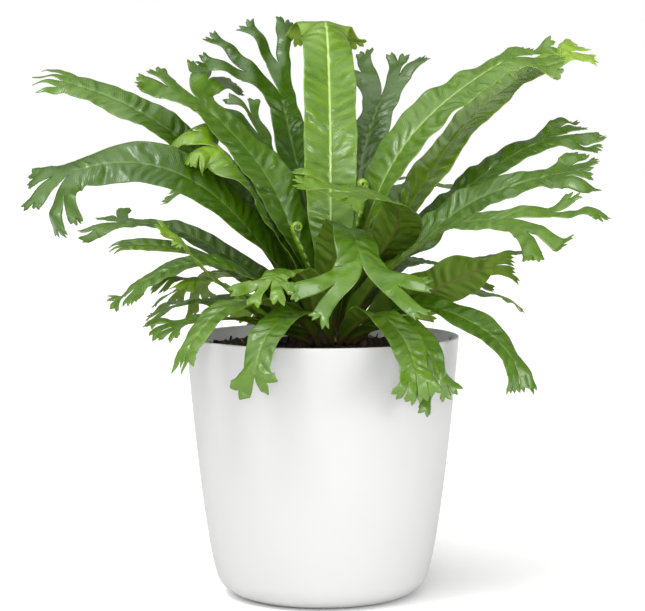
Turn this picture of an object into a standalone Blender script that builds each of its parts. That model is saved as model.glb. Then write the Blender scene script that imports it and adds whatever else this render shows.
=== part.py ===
"""A crested bird's nest fern planted in a round white pot.

Metres, +Z up. The origin is the middle of the pot's flat base; -Y is the front.
The fronds spring from a short crown in four tiers, the lowest outermost. Each frond is one thin
sheet: a strap-shaped blade whose end forks twice into an antler-like crest.
"""

from dataclasses import dataclass
from math import cos, radians, sin

import bmesh
import bpy
import numpy as np

# ---- Pot. The foot radius is the wall's, carried down to the base without its rounding
POT_RADIUS = 0.090
POT_HEIGHT = 0.172
POT_FOOT_RADIUS = 0.062
POT_WALL = 0.0026
POT_FLOOR = 0.0035
POT_FOOT_ROUNDING = 0.014
POT_RIM_ROUNDING = 0.0010
POT_FOOT_RINGS = 5
POT_WALL_RINGS = 6
POT_SEGMENTS = 56

# ---- Soil and crown
GAP = 0.0004
SOIL_DROP = 0.0095
SOIL_RISE = 0.003
CROWN_RADIUS = 0.018
CROWN_HEIGHT = 0.022
CROWN_OFFSET = 0.004
CROWN_SEGMENTS = 24

# ---- Fronds. Tier 0 is the lowest on the crown; a slot counts round its tier from the right
FROND_THICKNESS = 0.0008
STALK_WIDTH = 0.0040
STALK_CLEARANCE = 0.0020
TIER_SLOTS = (16, 14, 12, 9)
TIER_SHARES = (0.14, 0.37, 0.60, 0.82)
BLADE_ROWS = 8
BLADE_CUPPING = 0.25
STALK_CUPPING = 0.45
TINE_SPREAD = 0.62
TINE_END = 0.45
LOBE_TURN = 0.55


def past_rim(heading, out, up):
    """A tip outside the pot: its heading from the right in degrees, and its distance past the rim."""
    reach = POT_RADIUS + out
    return (reach * cos(radians(heading)), reach * sin(radians(heading)), up)


@dataclass(frozen=True)
class Frond:
    """One frond. tip is where the crest begins, from the middle of the rim: right, back, up."""

    name: str
    tier: int
    slot: float
    tip: tuple
    width: float
    arch: float = 60.0
    late: float = 1.0
    sway: float = 0.0
    tilt: float = 0.0
    spread: float = 32.0
    lobe: float = 0.020
    tine: float = 0.020
    flare: float = 1.3
    lean: float = 0.0
    nod: float = 30.0
    curl: float = 2.0
    full_at: float = 0.45
    narrowing: float = 0.22


FRONDS = (
    # The tall fronds at the middle
    Frond("frond_tall_centre", 3, 2.0, (0.002, 0.052, 0.207), 0.035, arch=68, late=5, lobe=0.014,
          tine=0.022, spread=14, nod=100, full_at=0.5, narrowing=0.16),
    Frond("frond_tall_left", 3, 3.1, (-0.026, 0.048, 0.150), 0.026, arch=10, spread=28, lean=26,
          lobe=0.030, tine=0.036, nod=10, curl=0.5),
    Frond("frond_back_left_short", 2, 4.45, (-0.041, 0.074, 0.124), 0.019, arch=-5, spread=32,
          lean=22, lobe=0.020, tine=0.024, nod=10),
    Frond("frond_back_right_tall", 2, 2.15, (0.037, 0.069, 0.148), 0.030, arch=30, spread=26,
          lean=10, lobe=0.034, tine=0.040, nod=10, curl=0.5),
    # The left side, from the highest down
    Frond("frond_left_highest", 2, 5.3, (-0.170, 0.051, 0.166), 0.026, arch=56, tilt=-30, spread=14,
          nod=20, lobe=0.008, tine=0.026, full_at=0.5),
    Frond("frond_left_upright", 3, 4.45, (-0.077, 0.016, 0.150), 0.034, arch=42, tilt=-30,
          spread=30, lean=-30, lobe=0.022, tine=0.030, nod=10, full_at=0.42),
    Frond("frond_left_glossy", 2, 6.3, (-0.065, -0.005, 0.120), 0.034, arch=34, tilt=-22, spread=46,
          lobe=0.018, tine=0.018, nod=110, full_at=0.4),
    Frond("frond_left_long", 1, 7.8, (-0.156, -0.025, 0.110), 0.034, arch=87, tilt=-43, spread=30,
          lean=15, lobe=0.022, tine=0.026, nod=50, full_at=0.55, late=1.6),
    Frond("frond_left_branched", 1, 6.0, (-0.130, 0.050, 0.072), 0.022, arch=52, tilt=-20,
          spread=42, nod=10),
    Frond("frond_left_narrow", 0, 7.7, (-0.124, -0.004, 0.060), 0.015, arch=60, tilt=-20, spread=8,
          lobe=0.008, tine=0.012),
    Frond("frond_left_arching", 0, 8.4, past_rim(-160, 0.033, 0.038), 0.021, arch=105, tilt=-20,
          spread=24, lobe=0.012, tine=0.012),
    Frond("frond_front_left_raised", 1, 8.95, (-0.085, -0.062, 0.060), 0.020, arch=-38, tilt=-25,
          spread=16, lobe=0.008, tine=0.010),
    Frond("frond_left_short", 0, 9.1, (-0.080, -0.032, 0.040), 0.017, arch=47, nod=50, lobe=0.012,
          tine=0.014),
    Frond("frond_left_lower", 0, 6.5, (-0.084, 0.020, 0.022), 0.022, arch=45, tilt=-15, spread=26),
    Frond("frond_left_lowest", 0, 10.2, past_rim(-146, 0.012, 0.014), 0.020, arch=30, spread=26,
          lobe=0.014, tine=0.016, tilt=-4),
    Frond("frond_front_left_drooping", 0, 11.0, past_rim(-130, 0.038, 0.002), 0.021, arch=105,
          spread=14, lobe=0.010, tine=0.010),
    Frond("frond_front_drooping", 0, 12.2, past_rim(-110, 0.029, -0.009), 0.024, arch=105, late=1.4,
          spread=36, lobe=0.014, tine=0.006),
    # The front
    Frond("frond_front_left_arching", 1, 9.25, (-0.030, -0.070, 0.043), 0.022, arch=115, spread=36,
          lobe=0.010, tine=0.014),
    Frond("frond_front_palmate", 1, 10.7, (0.023, -0.108, 0.060), 0.028, arch=140, spread=46,
          lobe=0.026, tine=0.030, flare=1.0, nod=40, curl=0.8, narrowing=0.0, tilt=-10,
          full_at=0.5),
    Frond("frond_front_right_drooping", 0, 13.0, past_rim(-60, 0.024, -0.010), 0.025, arch=105,
          late=1.4, spread=22, lobe=0.010, tine=0.012),
    Frond("frond_front_right_forked", 0, 13.85, past_rim(-48, 0.017, -0.015), 0.023, arch=96,
          late=1.4, spread=28, lobe=0.010, tine=0.014, tilt=7),
    Frond("frond_centre_turned", 2, 10.0, (0.028, -0.084, 0.096), 0.030, arch=60, sway=-170,
          spread=28, nod=10, curl=0.5, full_at=0.43, tilt=-25, tine=0.024),
    # The right side, from the highest down
    Frond("frond_right_tall", 2, 0.65, (0.118, 0.026, 0.179), 0.036, arch=62, tilt=25, spread=24),
    Frond("frond_right_highest", 2, 1.5, (0.164, 0.066, 0.186), 0.026, arch=40, late=2.5, tilt=30,
          spread=20, lobe=0.010, tine=0.012),
    Frond("frond_right_upper", 1, 0.6, (0.146, 0.036, 0.127), 0.026, arch=42, tilt=20, spread=26,
          nod=15),
    Frond("frond_right_middle", 1, -0.55, (0.141, -0.038, 0.105), 0.030, arch=53, tilt=35,
          spread=34, nod=10, curl=1.0),
    Frond("frond_right_spread", 1, -1.9, (0.108, -0.078, 0.080), 0.028, arch=60, tilt=23, spread=32,
          lobe=0.026, tine=0.032, nod=10, curl=0.6),
    Frond("frond_right_pointed", 0, 0.5, (0.130, 0.022, 0.054), 0.024, arch=45, tilt=-10, spread=14,
          lobe=0.006, tine=0.010),
    Frond("frond_right_broad", 0, -0.2, (0.106, -0.032, 0.047), 0.034, arch=25, tilt=-50, spread=10,
          full_at=0.40, lobe=0.010, tine=0.010, narrowing=0.62),
    Frond("frond_right_low", 0, 1.3, past_rim(27, 0.044, 0.022), 0.018, arch=40, spread=20,
          lobe=0.008, tine=0.010),
    Frond("frond_right_drooping", 0, -1.25, past_rim(-27, 0.044, -0.008), 0.021, arch=100, tilt=24,
          spread=12, lobe=0.012, tine=0.012),
    # The back, which fills the rosette
    Frond("frond_back_upright", 2, 3.3, (0.006, 0.116, 0.116), 0.028, arch=50),
    Frond("frond_back_right_high", 1, 2.1, (0.070, 0.115, 0.098), 0.026, arch=60),
    Frond("frond_back_left_high", 1, 4.9, (-0.075, 0.115, 0.095), 0.026, arch=60),
    Frond("frond_back_middle", 1, 3.4, (-0.004, 0.145, 0.070), 0.027, arch=80),
    Frond("frond_back_right_wide", 0, 2.2, past_rim(51, 0.045, 0.040), 0.022, arch=70),
    Frond("frond_back_right_low", 0, 3.25, past_rim(72, 0.047, 0.020), 0.022, arch=88),
    Frond("frond_back_left_low", 0, 4.4, past_rim(105, 0.045, 0.018), 0.022, arch=90),
    Frond("frond_back_left_wide", 0, 5.4, past_rim(130, 0.041, 0.030), 0.022, arch=70),
    # Young fronds whose tips are still coiled
    Frond("frond_young_right", 3, 0.5, (0.030, 0.008, 0.100), 0.011, arch=10, spread=14, lobe=0.004,
          tine=0.004, nod=10),
    Frond("frond_young_left", 3, 6.25, (-0.021, -0.013, 0.072), 0.008, arch=10, spread=14,
          lobe=0.003, tine=0.003, nod=10),
    Frond("frond_young_front", 3, 7.0, (0.002, -0.020, 0.058), 0.011, arch=10, spread=14,
          lobe=0.004, tine=0.004, nod=10),
)


# ---- Materials


def material(name, colour, roughness):
    """A plain Principled material."""
    made = bpy.data.materials.new(name)
    made.use_nodes = True
    shader = made.node_tree.nodes["Principled BSDF"]
    shader.inputs["Base Color"].default_value = (*colour, 1.0)
    shader.inputs["Roughness"].default_value = roughness
    return made


# ---- Turned pieces


def wall_radius(height):
    """The pot's outer radius: a square-root taper, rounded in at the foot."""
    share = max(height, 0.0) / POT_HEIGHT
    radius = POT_FOOT_RADIUS + (POT_RADIUS - POT_FOOT_RADIUS) * share**0.5
    if height < POT_FOOT_ROUNDING:
        along = 1 - height / POT_FOOT_ROUNDING
        radius -= POT_FOOT_ROUNDING * (1 - (1 - along * along) ** 0.5)
    return radius


def wall_heights():
    """Heights up the wall: evenly turned steps round the foot, then ever longer ones to the rim."""
    turns = [radians(90 * k / POT_FOOT_RINGS) for k in range(POT_FOOT_RINGS + 1)]
    foot = [POT_FOOT_ROUNDING * (1 - cos(turn)) for turn in turns]
    rise = POT_HEIGHT - POT_FOOT_ROUNDING
    wall = [POT_FOOT_ROUNDING + rise * (k / POT_WALL_RINGS) ** 1.6 for k in range(1, POT_WALL_RINGS)]
    return foot + wall


def turned(name, profile, segments, finish):
    """A solid of revolution from (radius, height) points, which run up the outside first."""
    mesh = bpy.data.meshes.new(name)
    shape = bmesh.new()
    rings = []
    for radius, height in profile:
        if radius == 0:
            rings.append([shape.verts.new((0, 0, height))])
            continue
        turn = [2 * np.pi * k / segments for k in range(segments)]
        rings.append([shape.verts.new((radius * np.cos(a), radius * np.sin(a), height)) for a in turn])
    for lower, upper in zip(rings, rings[1:]):
        for k in range(segments):
            after = (k + 1) % segments
            corners = [lower[k % len(lower)], lower[after % len(lower)],
                       upper[after % len(upper)], upper[k % len(upper)]]
            shape.faces.new(list(dict.fromkeys(corners)))
    bmesh.ops.recalc_face_normals(shape, faces=shape.faces)
    shape.to_mesh(mesh)
    shape.free()
    return placed(name, mesh, finish)


def placed(name, mesh, finish):
    """The mesh as an object in the scene."""
    mesh.materials.append(finish)
    mesh.shade_smooth()
    mesh.set_sharp_from_angle(angle=radians(40))
    made = bpy.data.objects.new(name, mesh)
    bpy.context.collection.objects.link(made)
    return made


def pot(finish):
    """The white pot: a thin tapering shell with a flat base."""
    outside = [(wall_radius(h), h) for h in wall_heights()]
    rim = [
        (POT_RADIUS, POT_HEIGHT - POT_RIM_ROUNDING),
        (POT_RADIUS - POT_RIM_ROUNDING, POT_HEIGHT),
        (POT_RADIUS - POT_WALL + POT_RIM_ROUNDING / 2, POT_HEIGHT),
        (POT_RADIUS - POT_WALL, POT_HEIGHT - POT_RIM_ROUNDING),
    ]
    inside = [(wall_radius(h) - POT_WALL, h) for h in reversed(wall_heights()) if h > POT_FLOOR]
    floor = [(wall_radius(POT_FLOOR) - POT_WALL, POT_FLOOR), (0, POT_FLOOR)]
    return turned("pot", [(0, 0), *outside, *rim, *inside, *floor], POT_SEGMENTS, finish)


def soil_top(radius):
    """The soil's height, which rises a little towards the crown."""
    return POT_HEIGHT - SOIL_DROP + SOIL_RISE * (1 - radius / (POT_RADIUS - POT_WALL))


def soil(finish):
    """The potting soil that fills the pot."""
    low, high = POT_FLOOR + GAP, POT_HEIGHT - SOIL_DROP
    heights = [low, *(h for h in wall_heights() if low < h < high), high]
    sides = [(wall_radius(h) - POT_WALL - 2 * GAP, h) for h in heights]
    edge = sides[-1][0]
    top = [(edge * share, soil_top(edge * share)) for share in (0.7, 0.4, 0)]
    return turned("soil", [(0, low), *sides, *top], POT_SEGMENTS, finish)


def crown_foot():
    """The height that the crown stands on."""
    return soil_top(0) + GAP


def crown_radius(share):
    """The crown's radius at a share of its height: widest low down, and closing to a point."""
    if share < TIER_SHARES[0]:
        return CROWN_RADIUS * (0.85 + 0.15 * share / TIER_SHARES[0])
    return CROWN_RADIUS * (1 - (share - TIER_SHARES[0]) / (1 - TIER_SHARES[0])) ** 0.65


def crown(finish):
    """The short upright stem that the fronds spring from."""
    foot = crown_foot()
    shares = (0, *TIER_SHARES, 0.92)
    profile = [(crown_radius(share), foot + CROWN_HEIGHT * share) for share in shares]
    made = turned("crown", [(0, foot), *profile, (0, foot + CROWN_HEIGHT)], CROWN_SEGMENTS, finish)
    made.location.x = CROWN_OFFSET
    return made


# ---- Fronds


def spring_point(frond):
    """Where the frond leaves the crown, just off its surface."""
    angle = 2 * np.pi * frond.slot / TIER_SLOTS[frond.tier]
    share = TIER_SHARES[frond.tier]
    radius = crown_radius(share) + STALK_CLEARANCE
    height = crown_foot() + CROWN_HEIGHT * share
    return np.array([CROWN_OFFSET + radius * np.cos(angle), radius * np.sin(angle), height])


def directions(rise, turn):
    """The tangent, side and upper-face vectors of a path that climbs at rise and heads at turn."""
    flat = np.column_stack([np.cos(turn), np.sin(turn)])
    along = np.column_stack([flat * np.cos(rise)[:, None], np.sin(rise)])
    side = np.column_stack([-np.sin(turn), np.cos(turn), np.zeros(len(turn))])
    face = np.column_stack([-flat * np.sin(rise)[:, None], np.cos(rise)])
    return along, side, face


class Midrib:
    """A frond's midrib as a curve with a frame, reaching from the crown past the crest."""

    STEPS = 48
    SOLVES = 12

    def __init__(self, frond):
        """Turns and stretches the bent curve until its end meets the frond's tip."""
        self.frond = frond
        self.start = spring_point(frond)
        tip = np.array(frond.tip) + (0, 0, POT_HEIGHT)
        goal = tip - self.start
        rise, turn, self.length = 0.0, 0.0, 1.0
        share = (np.arange(self.STEPS) + 0.5) / self.STEPS
        for _ in range(self.SOLVES):
            along, _, _ = directions(*self.angles(share, rise, turn))
            end = along.mean(axis=0)
            rise += np.arctan2(goal[2], np.hypot(*goal[:2])) - np.arctan2(end[2], np.hypot(*end[:2]))
            turn += np.arctan2(goal[1], goal[0]) - np.arctan2(end[1], end[0])
            self.length = np.linalg.norm(goal) / np.linalg.norm(end)
        self.rise, self.turn = rise, turn
        self.crest = frond.lobe + frond.tine
        reach = self.length + 1.3 * self.crest
        self.at = np.linspace(0, reach, 3 * self.STEPS)
        along, _, _ = directions(*self.angles(self.at / self.length, rise, turn))
        steps = (along[1:] + along[:-1]) / 2 * (self.at[1] - self.at[0])
        self.points = self.start + np.vstack([np.zeros(3), np.cumsum(steps, axis=0)])

    def angles(self, share, rise, turn):
        """The climb and heading at shares of the blade's length; past 1 the crest nods."""
        blade = np.clip(share, 0, 1)
        past = np.clip(share - 1, 0, None) * self.length / (self.frond.lobe + self.frond.tine)
        climb = rise - radians(self.frond.arch) * blade**self.frond.late - radians(self.frond.nod) * past
        return climb, turn + radians(self.frond.sway) * blade

    def place(self, flat):
        """Bends flat (across, along) points into space."""
        across, along = flat[:, 0], np.clip(flat[:, 1], 0, self.at[-1])
        share = along / self.length
        centre = np.column_stack([np.interp(along, self.at, self.points[:, k]) for k in range(3)])
        _, side, face = directions(*self.angles(share, self.rise, self.turn))
        roll = (radians(self.frond.tilt) * np.clip(2 * share, 0, 1))[:, None]
        side, face = (
            side * np.cos(roll) + face * np.sin(roll),
            face * np.cos(roll) - side * np.sin(roll),
        )
        beyond = np.clip(flat[:, 1] - self.length, 0, None)
        crest = np.where(beyond > 0, across**2 + beyond**2, 0)
        rest = np.clip(1 - share, 0, 1)
        lift = (BLADE_CUPPING + STALK_CUPPING * rest**2) * rest * np.abs(across) - self.frond.curl * crest
        return centre + side * across[:, None] + face * lift[:, None]


def half_width(frond, share):
    """Half of the blade's width: a narrow stalk that widens to a strap."""
    stalk = STALK_WIDTH / 2
    full = frond.width / 2
    grown = np.sin(np.pi / 2 * np.clip(share / frond.full_at, 0, 1)) ** 1.25
    narrowed = 1 - frond.narrowing * np.clip(4 * share - 3, 0, 1) ** 2
    return stalk + (full * narrowed - stalk) * grown


def ribbon(start, heading, half, length, turn, cells, rows):
    """A flat strip's rows of points. It starts at heading and turns as it goes; half gives its ends."""
    share = np.linspace(0, 1, rows + 1)
    angle = heading + turn * share**LOBE_TURN
    middle = (angle[1:] + angle[:-1]) / 2
    steps = np.column_stack([np.sin(middle), np.cos(middle)]) * length / rows
    centre = start + np.vstack([np.zeros(2), np.cumsum(steps, axis=0)])
    across = np.column_stack([np.cos(angle), -np.sin(angle)])
    halves = half[0] + (half[1] - half[0]) * share
    side = np.linspace(-1, 1, cells + 1)
    return centre[:, None] + across[:, None] * (halves[:, None] * side)[:, :, None]


class Sheet:
    """The points and faces of a flat sheet, built from strips that share their end rows."""

    def __init__(self):
        """An empty sheet."""
        self.points, self.faces = [], []

    def add(self, row):
        """Adds a row of points and returns their numbers."""
        first = len(self.points)
        self.points.extend(row)
        return list(range(first, len(self.points)))

    def strip(self, first, rows):
        """Adds rows of points after the row numbered first, and returns the last row's numbers."""
        before = first
        for row in rows:
            after = self.add(row)
            for k in range(len(after) - 1):
                self.faces.append((before[k], before[k + 1], after[k + 1], after[k]))
            before = after
        return before

    def double(self, first, row):
        """Adds a row with twice as many cells as the row numbered first."""
        after = self.add(row)
        for k in range(len(first) - 1):
            self.faces.append((first[k], after[2 * k + 1], after[2 * k]))
            self.faces.append((first[k], first[k + 1], after[2 * k + 1]))
            self.faces.append((first[k + 1], after[2 * k + 2], after[2 * k + 1]))
        return after


def flat_frond(frond, length):
    """The pressed shape: the blade, two lobes, and two tines on each lobe."""
    sheet = Sheet()
    share = np.linspace(0, 1, BLADE_ROWS + 1)
    halves = half_width(frond, share)
    rows = [[(h * side, s * length) for side in (-1, 0, 1)] for s, h in zip(share, halves)]
    last = sheet.strip(sheet.add(rows[0]), rows[1:-1])
    half = halves[-1]
    edge = sheet.double(last, [(half * side, length) for side in np.linspace(-1, 1, 5)])
    spread, lean = radians(frond.spread), radians(frond.lean)
    # Two lobes never widen faster than they part
    flare = min(frond.flare, 1 + 0.55 * frond.lobe * spread / (half / 2))
    for hand in (-1, 1):
        start = np.array([hand * half / 2, length])
        ends = (half / 2, half / 2 * flare)
        lobe = ribbon(start, 0, ends, frond.lobe, hand * spread + lean, 2, 2)
        below = edge[:3] if hand < 0 else edge[2:]
        top = sheet.strip(below, lobe[1:])
        heading = hand * spread + lean
        for part in (-1, 1):
            quarter = ends[1] / 2
            turn = part * spread * TINE_SPREAD
            begin = lobe[-1][1] + (lobe[-1][1 + part] - lobe[-1][1]) / 2
            tine = ribbon(begin, heading, (quarter, quarter * TINE_END), frond.tine, turn, 1, 1)
            sheet.strip(top[:2] if part < 0 else top[1:], tine[1:])
    return sheet


def frond(shape, finish):
    """One frond: its flat sheet bent along its midrib and given its thickness."""
    midrib = Midrib(shape)
    sheet = flat_frond(shape, midrib.length)
    mesh = bpy.data.meshes.new(shape.name)
    mesh.from_pydata(midrib.place(np.array(sheet.points)).tolist(), [], sheet.faces)
    made = placed(shape.name, mesh, finish)
    shell = made.modifiers.new("thickness", "SOLIDIFY")
    shell.thickness = FROND_THICKNESS
    shell.offset = 0
    return made


def main():
    """Clears the scene and builds every piece."""
    for old in list(bpy.data.objects):
        bpy.data.objects.remove(old)
    pot(material("white_plastic", (0.86, 0.86, 0.85), 0.45))
    soil(material("soil", (0.035, 0.02, 0.012), 0.95))
    crown(material("crown_scales", (0.06, 0.035, 0.018), 0.85))
    green = material("frond_green", (0.09, 0.26, 0.025), 0.35)
    pale = material("frond_young", (0.25, 0.45, 0.07), 0.35)
    for shape in FRONDS:
        frond(shape, pale if "young" in shape.name else green)


main()
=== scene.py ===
"""A crested bird's nest fern planted in a round white pot: its finished surfaces.

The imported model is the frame. Every frond, the pot, the soil and the crown are rebuilt here as
fine surfaces in the places that their solids hold, and get their finishes. Lengths are metres.
"""

import logging
from dataclasses import dataclass, field
from enum import Enum
from math import radians

import bmesh
import bpy
import numpy as np
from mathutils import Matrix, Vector

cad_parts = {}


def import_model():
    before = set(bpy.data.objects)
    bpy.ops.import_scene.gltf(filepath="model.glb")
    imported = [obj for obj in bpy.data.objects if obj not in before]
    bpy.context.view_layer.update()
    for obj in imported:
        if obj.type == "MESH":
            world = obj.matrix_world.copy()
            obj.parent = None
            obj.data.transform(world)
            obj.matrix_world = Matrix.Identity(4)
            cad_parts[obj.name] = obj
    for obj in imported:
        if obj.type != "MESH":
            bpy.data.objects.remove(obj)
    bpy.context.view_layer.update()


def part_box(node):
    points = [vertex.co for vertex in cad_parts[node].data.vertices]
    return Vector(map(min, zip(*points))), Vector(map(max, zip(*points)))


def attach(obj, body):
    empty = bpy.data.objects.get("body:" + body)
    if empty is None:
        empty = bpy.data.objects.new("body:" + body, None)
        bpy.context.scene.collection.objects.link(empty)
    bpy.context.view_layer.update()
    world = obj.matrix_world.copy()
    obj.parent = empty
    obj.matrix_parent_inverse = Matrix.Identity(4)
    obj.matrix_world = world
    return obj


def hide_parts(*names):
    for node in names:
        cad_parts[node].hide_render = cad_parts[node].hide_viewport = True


LOG = logging.getLogger("fern")
Array = np.ndarray


# ---------------------------------------------------------------- arithmetic on whole arrays


def smooth(low: float, high: float, values: Array) -> Array:
    """Rises from 0 at low to 1 at high as 3t^2 - 2t^3.

    Args:
        low: Where the rise starts.
        high: Where it ends.
        values: The values to look up.

    Returns:
        The step's height at each value.
    """
    share = np.clip((values - low) / (high - low), 0.0, 1.0)
    return share * share * (3.0 - 2.0 * share)


def swell(places: Array, length: float, waves: int, seed: int) -> Array:
    """Gentle unevenness: the mean of sine waves that run in scattered directions.

    Args:
        places: Points, one to a row, with any number of coordinates.
        length: The middle wavelength.
        waves: How many waves are added.
        seed: Fixes the directions and phases.

    Returns:
        A height for each point, mostly between -1 and 1.
    """
    draw = np.random.default_rng(seed)
    heading = draw.normal(size=(waves, places.shape[1]))
    heading /= np.linalg.norm(heading, axis=1)[:, None]
    pitch = length * draw.uniform(0.6, 1.6, waves)
    phase = places @ (2 * np.pi * heading / pitch[:, None]).T + draw.uniform(0, 2 * np.pi, waves)
    return np.sin(phase).sum(axis=1) / np.sqrt(waves)


def vertex_normals(points: Array, quads: Array) -> Array:
    """Unit normals at the points: the sum of the crossed diagonals of the quads that meet there.

    Args:
        points: The points of a surface.
        quads: Its faces, four point numbers each.

    Returns:
        One unit vector for each point.
    """
    corner = points[quads]
    crossed = np.cross(corner[:, 2] - corner[:, 0], corner[:, 3] - corner[:, 1])
    total = np.zeros_like(points)
    for k in range(4):
        np.add.at(total, quads[:, k], crossed)
    return total / np.maximum(np.linalg.norm(total, axis=1), 1e-12)[:, None]


def grid_quads(ids: Array) -> Array:
    """The quads between the rows and columns of a grid of point numbers, facing rows x columns.

    Args:
        ids: Point numbers, as rows by columns.

    Returns:
        Faces, four point numbers each.
    """
    return np.stack([ids[:-1, :-1], ids[1:, :-1], ids[1:, 1:], ids[:-1, 1:]], axis=-1).reshape(-1, 4)


# ---------------------------------------------------------------- meshes


@dataclass
class Surface:
    """Points and faces on their way into a mesh, with a finish number for each face."""

    points: Array
    faces: Array
    finish: Array | None = None
    traits: dict[str, Array] = field(default_factory=dict)

    def mesh(self, name: str, finishes: list[bpy.types.Material]) -> bpy.types.Mesh:
        """Puts the arrays into a mesh, shaded smooth.

        Args:
            name: The mesh's name.
            finishes: Its materials, in the order that the finish numbers count.

        Returns:
            The mesh, with each trait as a point attribute.
        """
        mesh = bpy.data.meshes.new(name)
        count, corners = self.faces.shape
        mesh.vertices.add(len(self.points))
        mesh.vertices.foreach_set("co", self.points.astype(np.float32).ravel())
        mesh.loops.add(count * corners)
        mesh.loops.foreach_set("vertex_index", self.faces.astype(np.int32).ravel())
        mesh.polygons.add(count)
        mesh.polygons.foreach_set("loop_start", np.arange(count, dtype=np.int32) * corners)
        if self.finish is not None:
            mesh.polygons.foreach_set("material_index", self.finish.astype(np.int32))
        mesh.update(calc_edges=True)
        for label, values in self.traits.items():
            kind, part = ("FLOAT_VECTOR", "vector") if values.ndim == 2 else ("FLOAT", "value")
            slot = mesh.attributes.new(label, kind, "POINT")
            slot.data.foreach_set(part, values.astype(np.float32).ravel())
        for finish in finishes:
            mesh.materials.append(finish)
        mesh.shade_smooth()
        return mesh

    def joined(self, other: "Surface") -> "Surface":
        """This surface and another as one. Both have the same traits and face sizes.

        Args:
            other: The surface to add.

        Returns:
            A surface that holds both.
        """
        return Surface(
            np.vstack([self.points, other.points]),
            np.vstack([self.faces, other.faces + len(self.points)]),
            np.concatenate([self.finish, other.finish]),
            {label: np.concatenate([self.traits[label], other.traits[label]]) for label in self.traits},
        )


def place_piece(name: str, mesh: bpy.types.Mesh, node: str) -> bpy.types.Object:
    """Puts a finished mesh in the scene in place of its solid.

    Args:
        name: The piece's name.
        mesh: Its mesh, already where it belongs.
        node: The solid that it stands for.

    Returns:
        The new object.
    """
    piece = bpy.data.objects.new(name, mesh)
    bpy.context.scene.collection.objects.link(piece)
    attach(piece, "root")
    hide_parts(node)
    LOG.info("%s: %d faces for %s", name, len(mesh.polygons), node)
    return piece


# ---------------------------------------------------------------- finishes


class Graph:
    """Builds a material's nodes with short calls."""

    def __init__(self, name: str, world: bool = False) -> None:
        """Makes an empty material, or an empty world.

        Args:
            name: Its name.
            world: Makes a world.
        """
        self.owner = bpy.data.worlds.new(name) if world else bpy.data.materials.new(name)
        self.owner.use_nodes = True
        self.tree = self.owner.node_tree
        self.tree.nodes.clear()
        self.output = self.tree.nodes.new("ShaderNodeOutput" + ("World" if world else "Material"))

    def add(self, kind: str, inputs: dict | None = None, **settings: object) -> bpy.types.Node:
        """Adds a node.

        Args:
            kind: The node's type, without its ShaderNode prefix.
            inputs: Values or sockets for its inputs, by name or number.
            settings: Its other settings.

        Returns:
            The node.
        """
        made = self.tree.nodes.new("ShaderNode" + kind)
        for label, value in settings.items():
            setattr(made, label, value)
        for label, value in (inputs or {}).items():
            if isinstance(value, bpy.types.NodeSocket):
                self.tree.links.new(value, made.inputs[label])
            else:
                made.inputs[label].default_value = value
        return made

    def sum(self, operation: str, *terms: object) -> bpy.types.NodeSocket:
        """A Math node on up to three numbers or sockets; returns its result."""
        return self.add("Math", dict(enumerate(terms)), operation=operation).outputs[0]

    def step(self, value: bpy.types.NodeSocket, low: float, high: float) -> bpy.types.NodeSocket:
        """A smooth step of a value from 0 at low to 1 at high; returns its result."""
        inputs = {"Value": value, "From Min": low, "From Max": high}
        return self.add("MapRange", inputs, interpolation_type="SMOOTHSTEP").outputs[0]

    def blend(self, share: object, first: object, second: object) -> bpy.types.NodeSocket:
        """A mix of two colours; returns its result."""
        return self.add("Mix", {0: share, 6: first, 7: second}, data_type="RGBA").outputs[2]

    def noise(self, vector: bpy.types.NodeSocket, scale: float, detail: float = 2.0) -> bpy.types.NodeSocket:
        """A noise pattern's value, about 0.5 on average; returns its result."""
        return self.add("TexNoise", {"Vector": vector, "Scale": scale, "Detail": detail}).outputs[0]

    def ramp(
        self, value: object, stops: list[tuple[float, tuple[float, float, float]]]
    ) -> bpy.types.NodeSocket:
        """Looks a value up among coloured stops.

        Args:
            value: The value or socket.
            stops: Positions and their colours.

        Returns:
            The colour's socket.
        """
        made = self.add("ValToRGB", {0: value})
        made.color_ramp.interpolation = "LINEAR"
        band = made.color_ramp.elements
        while len(band) < len(stops):
            band.new(0.5)
        for part, (place, colour) in zip(band, stops):
            part.position = place
            part.color = (*colour, 1.0)
        return made.outputs[0]

    def finish(self, shader: bpy.types.NodeSocket) -> bpy.types.Material | bpy.types.World:
        """Joins a shader to the output; returns the material or world."""
        self.tree.links.new(shader, self.output.inputs["Surface"])
        return self.owner


class LeafFace(Enum):
    """The two faces of a blade."""

    UPPER = "upper"
    UNDER = "under"


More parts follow.
